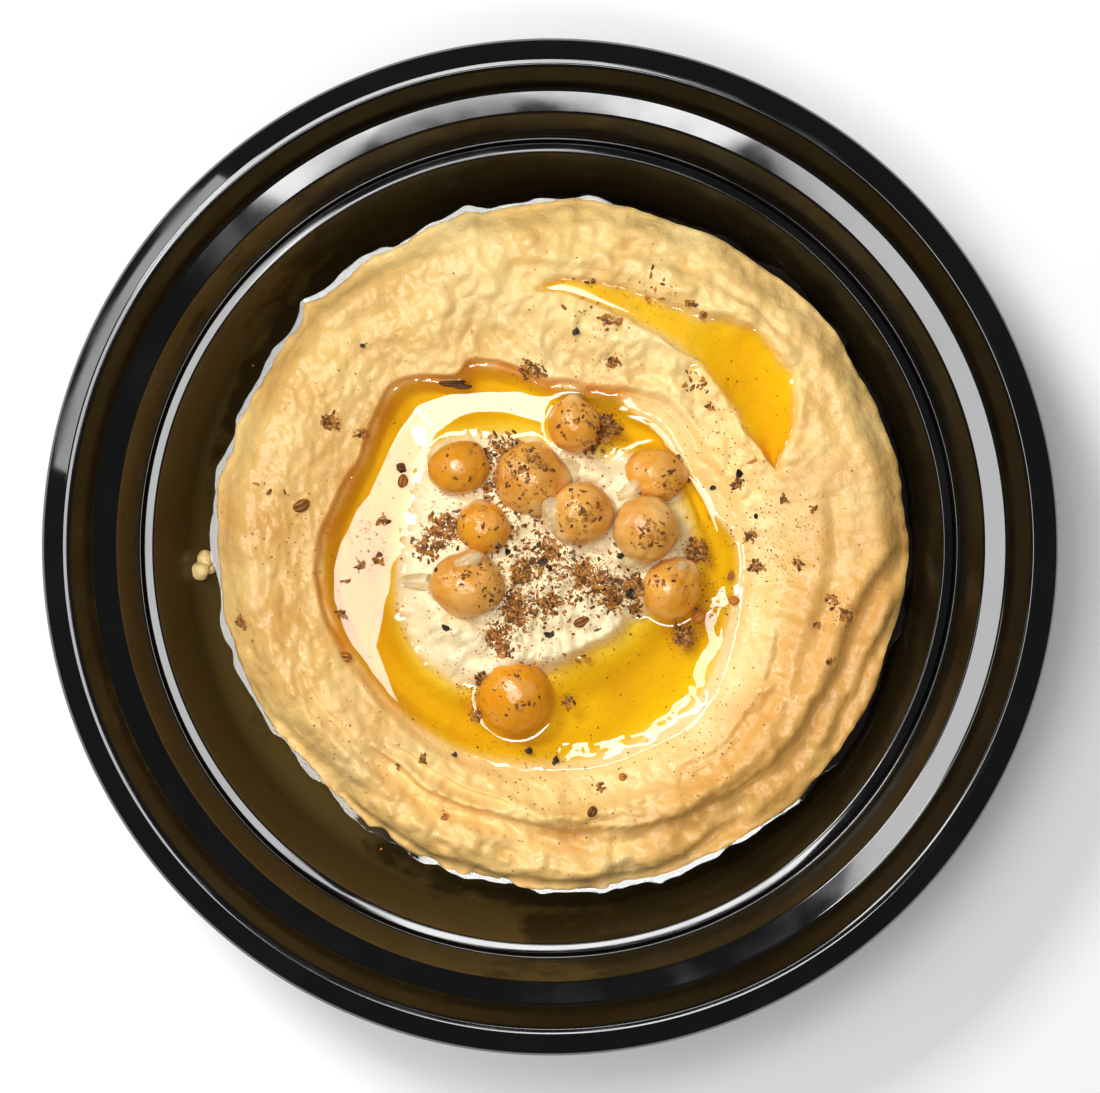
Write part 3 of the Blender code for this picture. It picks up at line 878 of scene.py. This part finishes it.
def add_chickpea(number, centre, half, turn, beak, look):
    bpy.ops.mesh.primitive_ico_sphere_add(subdivisions=5, radius=1.0)
    pea = bpy.context.object
    pea.name = f"chickpea_seed_{number:02d}"
    mesh = pea.data
    flat = np.empty(len(mesh.vertices) * 3)
    mesh.vertices.foreach_get("co", flat)
    way = flat.reshape(-1, 3)
    way /= np.linalg.norm(way, axis=1, keepdims=True)
    tip = np.array(beak) / np.linalg.norm(beak)
    across = np.cross(tip, (0.3, 0.2, 1.0))
    across /= np.linalg.norm(across)
    off_tip = np.arccos(np.clip(way @ tip, -1, 1))
    reach = 1 + BEAK_RISE * np.exp(-((off_tip / BEAK_SPREAD) ** 2))
    seam = np.exp(-(((way @ across) / 0.09) ** 2))
    seam = seam * ease(1.9, 0.5, off_tip) * ease(0.1, 0.5, off_tip)
    reach -= 0.045 * seam
    seed = number * 3.7
    bumps = noise_over(way, 1.3, (seed, 0, 0))
    wrinkles = noise_over(way, 3.4, (0, seed, 0))
    reach += 0.055 * bumps + 0.028 * wrinkles - 0.02
    points = way * reach[:, None] * np.array(half) * PLUMPER
    points = (points @ spin(math.radians(turn)).T + np.array(centre)) * MM
    mesh.vertices.foreach_set("co", points.reshape(-1))
    mesh.shade_smooth()
    set_attribute(pea, "pale", ease(0.55, 0.1, off_tip) * 0.7 + 0.2 * ease(0.1, 0.5, bumps))
    sunk = ease(centre[2] + 1, centre[2] - 4, points[:, 2] / MM)
    set_attribute(pea, "oiled", np.clip(OILED[number - 1] + 0.5 * sunk + 0.3 * bumps, 0, 1))
    mesh.materials.append(look)
    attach(pea, "root")
    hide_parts(f"chickpea_{number:02d}")


# ---- Skins, seeds, spices and drops

rng = np.random.default_rng(7)


def pea_top(x, y):
    """Height of the chickpeas' tops, or -FAR where there is none."""
    top = np.full(np.shape(x), -FAR)
    for centre, half, turn, _ in CHICKPEAS:
        u, v = pea_shares(x, y, centre, half, turn)
        inside = np.clip(1 - u * u - v * v, 0, 1)
        dome = centre[2] + half[2] * np.sqrt(inside)
        top = np.maximum(top, np.where(inside > 0, dome, -FAR))
    return top


def surface_top(x, y):
    """Height of whatever lies uppermost: chickpea, oil or dip."""
    ground = dip_height(x, y)
    oil = np.where(in_well(x, y), oil_top(x, y, ground), -FAR)
    pool = np.where(near_crescent(x, y), crescent_top(x, y, ground), -FAR)
    return np.maximum.reduce([ground, oil, pool, pea_top(x, y)])


def top_at(x, y):
    """The same at one place, as a plain number."""
    return float(surface_top(np.array([x]), np.array([y]))[0])


def ball(subdivisions):
    bpy.ops.mesh.primitive_ico_sphere_add(subdivisions=subdivisions, radius=1.0)
    obj = bpy.context.object
    points = np.array([v.co[:] for v in obj.data.vertices])
    faces = [tuple(p.vertices) for p in obj.data.polygons]
    bpy.data.objects.remove(obj)
    return points, faces


def add_joined(name, parts, base_faces, smooth=True):
    """One mesh of parts that all have the same faces."""
    faces = [tuple(k + n * len(parts[0]) for k in f) for n in range(len(parts)) for f in base_faces]
    return add_mesh(name, np.concatenate(parts), faces, smooth)


def random_turn(tilt):
    """A turn about Z by anything, and about a level line by up to tilt radians."""
    about, lean, way = rng.uniform(0, math.tau), rng.uniform(-tilt, tilt), rng.uniform(0, math.tau)
    axis = np.array([math.cos(way), math.sin(way), 0])
    cross = np.array([[0, 0, axis[1]], [0, 0, -axis[0]], [-axis[1], axis[0], 0]])
    tip = np.eye(3) + math.sin(lean) * cross + (1 - math.cos(lean)) * cross @ cross
    return tip @ spin(about)


CROWDING = 2.4        # spots counting more than FEW bits get this many times their count
FEW = 5
BIT_LIFT = 0.1        # share of a bit's half size that its middle lies above the surface


def add_bits(name, spots, sizes, look, shape=(1.0, 0.5, 0.32), bend=0.35, detail=1):
    """Many small bits as one mesh, scattered about spots (x, y, spread, count)."""
    base, base_faces = ball(detail)
    at = []
    for x, y, spread, count in spots:
        count = round(count * CROWDING) if count > FEW else count
        distance = spread * np.sqrt(rng.uniform(0, 1, count)) * rng.uniform(0.4, 1.15, count)
        way = rng.uniform(0, math.tau, count)
        at += list(zip(x + distance * np.cos(way), y + distance * np.sin(way)))
    at = np.array(at)
    tops = surface_top(at[:, 0], at[:, 1])
    points, tones = [], []
    for (x, y), top in zip(at, tops):
        size = rng.uniform(*sizes) / 2
        stretch = np.array(shape) * rng.uniform(0.7, 1.3, 3)
        bit = base * (1 + 0.22 * rng.normal(size=(len(base), 1)))
        bit = bit * stretch
        bit[:, 1] += bend * rng.uniform(-1, 1) * bit[:, 0] ** 2
        bit = size * bit @ random_turn(0.5).T + (x, y, top + BIT_LIFT * size)
        points.append(bit)
        tones.append(np.full(len(base), rng.uniform(0, 1)))
    bits = add_joined(name, points, base_faces, smooth=False)
    set_attribute(bits, "tone", np.concatenate(tones))
    bits.data.materials.append(look)
    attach(bits, "root")


# Ground spice: middle of each clump, how far it spreads, and its count
# of bits before CROWDING.
CLUMPS = [
    (-40.8, 23.6, 1.8, 26), (-35, 21.3, 1.2, 9), (-4, 33.8, 1.8, 20), (-1.5, 33.2, 1.5, 12),
    (12, 34.9, 1.5, 18), (10.5, 42.8, 1.2, 10), (13, 42.2, 1.0, 8), (26.4, 45.8, 1.2, 9),
    (29, 43.6, 1.0, 8), (30, 26.6, 1.0, 8), (35.6, 12, 1.6, 10), (38, 2.2, 1.2, 10),
    (39.4, -3.4, 1.6, 14), (44, 9.2, 0.9, 6), (49.2, 7.3, 0.7, 5), (46.8, -3, 1.2, 8),
    (55.3, -12.8, 1.4, 14), (53, -9.8, 1.5, 10), (50.4, -14.4, 0.8, 5), (52.4, -21.3, 0.8, 5),
    (-57.2, -14, 1.3, 12), (-55.3, -17.2, 0.5, 3), (-54.4, 11.5, 0.8, 3), (-49.3, 10.5, 0.5, 2),
    (-23.6, -39.3, 1.0, 6), (-28, -40.6, 0.7, 4), (-19, -50.4, 0.8, 4), (9.4, -45, 1.5, 6),
    (-19.5, 3.4, 4.0, 70), (-23, 0, 3.0, 34), (-9.5, 11, 3.0, 26), (-8.5, 18.3, 4.0, 55),
    (10.8, 23, 2.8, 70), (8, 19.2, 2.4, 26), (-3, 14, 5.0, 60), (6, 6.5, 4.5, 40),
    (18, 3, 4.5, 34), (-5, -4.9, 2.6, 46), (-0.2, -1, 3.2, 40), (6.4, -4.5, 3.4, 80),
    (10, -7, 3.2, 70), (16, -6.8, 2.6, 60), (16.2, -11.2, 1.6, 22), (12, -10.2, 2.0, 34),
    (-6.4, -10.8, 3.2, 70), (-5.5, -13, 2.4, 34), (0.2, -10.2, 2.4, 32), (-9.5, -16.4, 2.8, 46),
    (-8.5, -19, 2.0, 20), (27.8, -0.5, 2.6, 44), (25.3, -16.6, 2.2, 34), (28, -12.8, 1.4, 10),
    (-12.2, -24.4, 1.6, 18), (-13.4, -31.3, 1.6, 18), (3.8, -29, 1.4, 12), (-31, 4.9, 1.2, 10),
    (-32, -2, 1.2, 7), (-35, -3.2, 1.0, 7), (-38, -6.2, 0.9, 5), (-38.5, -12.3, 1.2, 6),
    (-12, -7, 5.0, 40), (0, -7, 14.0, 120), (-6, 4, 12.0, 80), (22, 14, 4.5, 30),
    (22, -7, 4.0, 26), (-15, 15, 5.0, 16), (4.8, 24, 4.0, 24), (-6, -27, 5.5, 26),
    (28, 31, 3.0, 8), (20, 49, 6.0, 8), (8, 45, 7.0, 8),
]

# Fine specks lie everywhere, thickest on the mound and thin over the ring.
SPECKS = [(-3, -3, 27.0, 420), (0, -44, 20.0, 60), (30, -34, 15.0, 50), (42, 2, 16.0, 70),
          (34, 22, 12.0, 34), (8, 38, 12.0, 26), (-30, 30, 16.0, 12), (-45, 0, 12.0, 22),
          (-35, -35, 12.0, 18), (-2, -3, 60.0, 170), (-34, 2, 7.0, 40), (30, -10, 8.0, 60)]

# Dust round the thickest clumps.
DUST = [(-19.5, 3.4, 5.0, 150), (-9, 14, 6.0, 150), (11, 22, 4.5, 130), (-3, 14, 6.5, 120),
        (0, -3, 8.0, 260), (9, -6, 6.5, 330), (16, -8, 4.5, 180), (-6, -11, 5.5, 260),
        (-9, -17, 4.5, 150), (27, -1, 4.0, 90), (25, -16, 4.0, 70), (-13, -27, 4.0, 60),
        (-40.8, 23.6, 2.2, 26), (-3, 33.5, 3.5, 40), (12, 35, 2.2, 24), (55, -12, 3.5, 30),
        (45, 0, 9.0, 60), (20, 48, 9.0, 30), (-57, -14, 2.0, 14)]

PEPPER = [(5, 40.5, 0.1, 2), (-34.7, 37.7, 0.1, 1), (35.8, 13.8, 0.2, 2), (31, 11.5, 0.2, 1),
          (39, 6, 0.2, 1), (0.2, -16.2, 0.4, 4), (-19, -15, 0.2, 2), (-27.4, 14.7, 0.6, 3),
          (1.3, -39.6, 0.4, 3), (-17.4, -38.7, 0.2, 1), (-3.4, -38, 0.3, 2), (13.5, -1.5, 0.6, 3),
          (15, -8.5, 1.0, 5), (-1, -3, 1.5, 5), (-10, -1, 4.0, 3), (-22, -5, 3.0, 2)]

# Whole seeds: x, y, half length, half width, turn in degrees, tone (0 dark, 1 light).
SEEDS = [
    (-18.0, 30.9, 2.6, 0.55, 3, 0.05), (-16.4, 30.4, 2.2, 0.5, -6, 0.2),
    (-46.1, 7.9, 1.7, 1.1, 28, 0.45), (-38.1, -20.4, 1.3, 0.95, -5, 0.6),
    (8.1, -49.1, 1.1, 0.8, 60, 0.3), (13.9, -42.8, 0.8, 0.7, 0, 0.7),
    (6.2, -13.8, 1.6, 0.9, 25, 0.4), (28.3, -12.8, 1.4, 1.1, 30, 1.0),
    (34.9, -9.8, 1.1, 0.8, -10, 0.95), (34.3, -5.1, 1.0, 0.5, 70, 0.6),
    (38.5, 16.4, 1.5, 0.3, 28, 0.8), (-27.2, 12.6, 1.3, 0.9, 75, 0.5),
    (-27.6, 15.2, 0.9, 0.8, 0, 0.2), (-52.0, 10.4, 0.7, 0.35, 50, 0.4),
]


def add_seeds(look):
    """Whole seeds, ridged lengthwise and drawn in at their ends."""
    base, base_faces = ball(4)
    points, tones = [], []
    for x, y, length, width, degrees, tone in SEEDS:
        around = np.arctan2(base[:, 2], base[:, 1])
        ridge = 1 + 0.07 * np.cos(6 * around)
        seed = base * np.array([length, width, width * 0.8])
        seed[:, 1:] *= ridge[:, None]
        seed[:, 2] -= 0.18 * width * np.exp(-((base[:, 1] / 0.16) ** 2)) * (base[:, 2] > 0)
        seed[:, 1] += 0.12 * length * base[:, 0] ** 2
        seed = seed @ spin(math.radians(degrees)).T + (x, y, top_at(x, y) + 0.3 * width)
        points.append(seed)
        tones.append(tone + 0.15 * np.cos(6 * around))
    seeds = add_joined("whole_seeds", points, base_faces)
    set_attribute(seeds, "tone", np.concatenate(tones))
    seeds.data.materials.append(look)
    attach(seeds, "root")


# Loose skins: centre x, y, height over what is there, half sizes, turn.
SKINS = [
    (-22.8, -6.4, 0.5, (5.0, 1.6, 0.8), -4), (-15.0, -2.6, 0.2, (3.0, 1.5, 0.7), 25),
    (3.6, 14.4, 0.2, (2.7, 2.5, 0.9), -35), (0.9, 6.2, -0.2, (2.2, 3.3, 1.2), 8),
    (15.8, 11.2, 0.0, (3.8, 1.5, 0.9), 42), (4.9, 28.4, -1.2, (1.5, 1.9, 1.1), 0),
    (17.0, -2.0, -1.6, (3.2, 1.7, 0.9), 12), (24.0, -4.2, -0.8, (2.6, 1.3, 0.8), 35),
]


def add_skins(look):
    base, base_faces = ball(5)
    for number, (x, y, over, half, degrees) in enumerate(SKINS, 1):
        crumple = noise_over(base, 1.9, (number * 5, 0, 0))
        folds = noise_over(base, np.array([1.5, 5, 0]), (0, 0, number))
        skin = base * (1 + 0.16 * crumple + 0.10 * folds)[:, None] * np.array(half)
        skin[:, 2] -= 0.05 * (skin[:, 0] ** 2) / half[0] + 0.1 * (skin[:, 1] ** 2) / half[1]
        skin = skin @ spin(math.radians(degrees)).T + (x, y, top_at(x, y) + over)
        skin = add_mesh(f"loose_skin_{number}", skin, base_faces)
        skin.data.materials.append(look)
        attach(skin, "root")


def wall_height(radius):
    """Height of the bowl's inner face below the first shoulder, at a distance from the axis."""
    line = [p for p in rounded(BOWL_CORNERS, 6) if 40 < p[0] < 73.5]
    return np.interp(radius, [p[0] for p in line], [p[1] for p in line])


# Lobes of the drop: x and y, and half sizes.
DROP_LOBES = [((-65.0, -2.2), (1.6, 2.1, 1.3)), ((-65.9, -4.1), (1.9, 1.7, 1.4)),
              ((-64.2, -3.6), (1.3, 1.2, 0.9))]


def add_drop(look):
    """The smear of dip that fell on the bowl at the left: three lobes joined as one lump."""
    parts = []
    base, base_faces = ball(4)
    for number, ((x, y), half) in enumerate(DROP_LOBES):
        rough = noise_over(base, 1.6, (number * 3, 1, 0))
        lobe = base * (1 + 0.15 * rough)[:, None] * np.array(half)
        lobe += (x, y, float(wall_height(math.hypot(x, y))) + 0.4 + 0.6 * half[2])
        inner_x, inner_y = kept_inside(lobe[:, 0], lobe[:, 1], lobe[:, 2], 0.1)
        lobe = np.stack([inner_x, inner_y, lobe[:, 2]], -1)
        parts.append(lobe)
    drop = add_joined("dip_drop", parts, base_faces)
    drop.data.materials.append(look)
    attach(drop, "root")


EDGE_FILM_ROWS = 16
EDGE_FILM_LEVEL = 11.4
EDGE_FILM_WIDTH = 1.35
EDGE_FILM_DROP = 1.2  # how far its outer edge turns down


def add_edge_film(look):
    """Oil that has crept out between the dip and the bowl, wide where the dip stands off it."""
    degrees = DIP_ANGLES
    edge_x, edge_y = from_polar(dip_edge(degrees) + 0.3, degrees)
    start = np.hypot(edge_x, edge_y)
    about = np.arctan2(edge_y, edge_x)
    wavy = noise_at(edge_x, edge_y, 6.0, 4.9) + 0.5 * noise_at(edge_x, edge_y, 2.5, 1.9)
    room = wall_radius(EDGE_FILM_LEVEL) - start - 0.25
    flat_width = np.minimum(EDGE_FILM_WIDTH + 0.6 * wavy, room)
    slope = 0.055 - 0.05 * bell(92, 32, degrees)
    rows = []
    for k in range(EDGE_FILM_ROWS + 1):
        share = k / EDGE_FILM_ROWS
        out = (flat_width + 0.9) * share
        radius = start - 0.5 + out
        turned = EDGE_FILM_DROP * ease(flat_width, flat_width + 1.0, out)
        height = EDGE_FILM_LEVEL - slope * out - turned
        radius = np.minimum(radius, wall_radius(height) - 0.05)
        rows.append(np.stack([radius * np.cos(about), radius * np.sin(about), height], -1))
    points = np.concatenate(rows)
    film = add_mesh("oil_edge_film", points, grid_faces(len(rows), DIP_TURNS))
    film.data.materials.append(look)
    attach(film, "root")


# ---- Stage

def add_floor():
    bpy.ops.mesh.primitive_plane_add(size=6.0, location=(0, 0, -0.0002))
    floor = bpy.context.object
    floor.name = "floor"
    floor.data.materials.append(floor_look())


LAMP_TARGET = (0, 0, 0.02)


def add_lamp(name, place, size, radiance):
    data = bpy.data.lights.new(name, "AREA")
    data.shape = "RECTANGLE"
    data.size, data.size_y = size
    data.energy = radiance * math.pi * size[0] * size[1]
    lamp = bpy.data.objects.new(name, data)
    lamp.location = place
    lamp.rotation_euler = (Vector(LAMP_TARGET) - Vector(place)).to_track_quat("-Z", "Y").to_euler()
    bpy.context.scene.collection.objects.link(lamp)


CAMERA_DROP = 0.700    # metres from the camera down to the rim
CAMERA_SHIFT = (-0.0174, -0.0132)
PIXELS_PER_MM = 5.563  # of the full picture, at the rim
PICTURE_WIDTH = 1100


def add_camera():
    data = bpy.data.cameras.new("camera")
    data.sensor_width = 36.0
    data.lens = PIXELS_PER_MM * CAMERA_DROP / MM * data.sensor_width / PICTURE_WIDTH
    data.clip_start = 0.05
    camera = bpy.data.objects.new("camera", data)
    aim = Vector((-0.0004, -0.0002, RIM_HEIGHT * MM))
    camera.location = aim + Vector((*CAMERA_SHIFT, CAMERA_DROP))
    look = (aim - camera.location).normalized()
    right = look.cross(Vector((0, 1, 0))).normalized()
    up = right.cross(look)
    camera.rotation_euler = Matrix((right, up, -look)).transposed().to_euler()
    bpy.context.scene.collection.objects.link(camera)
    bpy.context.scene.camera = camera


# Lamps: name, place and size in metres, and radiance.
LAMPS = [
    ("left lamp", (-0.245, 0.0, 1.0), (0.54, 0.23), 9.0),
    ("top lamp", (-0.045, 0.185, 1.0), (0.21, 0.14), 12.5),
    ("lower lamp", (0.055, -0.245, 1.0), (0.35, 0.11), 16.0),
    ("upper left lamp", (-0.42, 0.42, 0.88), (0.23, 0.20), 32.0),
    ("side lamp", (-1.04, 0.60, 0.50), (0.90, 0.30), 5.0),
]
WORLD_STRENGTH = 0.11


def add_stage():
    add_floor()
    for lamp in LAMPS:
        add_lamp(*lamp)
    world = bpy.data.worlds.new("studio")
    bpy.context.scene.world = world
    world.use_nodes = True
    background = world.node_tree.nodes["Background"]
    background.inputs["Color"].default_value = (1, 1, 1, 1)
    background.inputs["Strength"].default_value = WORLD_STRENGTH
    bpy.context.scene.view_settings.view_transform = "Standard"
    add_camera()


# ---- Everything

def main():
    add_bowl()
    dip = add_dip()
    oil = oil_look()
    add_oil("oil_in_well", "oil_well", in_well, oil_top, oil)
    add_oil("oil_in_crescent", "oil_crescent", near_crescent, crescent_top, oil)
    add_edge_film(oil)
    seed_look = chickpea_look()
    for number, (centre, half, turn, beak) in enumerate(CHICKPEAS, 1):
        add_chickpea(number, centre, half, turn, beak, seed_look)
    add_skins(skin_look())
    add_drop(dip.data.materials[0])
    ground = spice_look("ground spice", srgb(70, 38, 8), srgb(126, 76, 20), srgb(186, 122, 44))
    add_bits("spice_flakes", CLUMPS, (0.4, 1.5), ground)
    specks = spice_look("spice specks", srgb(66, 36, 8), srgb(132, 76, 18), srgb(190, 118, 38))
    add_bits("spice_specks", SPECKS, (0.16, 0.45), specks, (1.0, 0.8, 0.5))
    add_bits("spice_dust", DUST, (0.12, 0.34), specks, (1.0, 0.7, 0.5))
    pepper = spice_look("black pepper", srgb(14, 11, 9), srgb(26, 20, 15), srgb(60, 46, 34))
    add_bits("pepper_bits", PEPPER, (0.9, 1.6), pepper, (1.0, 0.75, 0.55), 0.1, 2)
    add_seeds(spice_look("whole seed", srgb(44, 24, 8), srgb(112, 66, 18), srgb(198, 122, 40)))
    add_stage()


main()
bpy.context.view_layer.update()
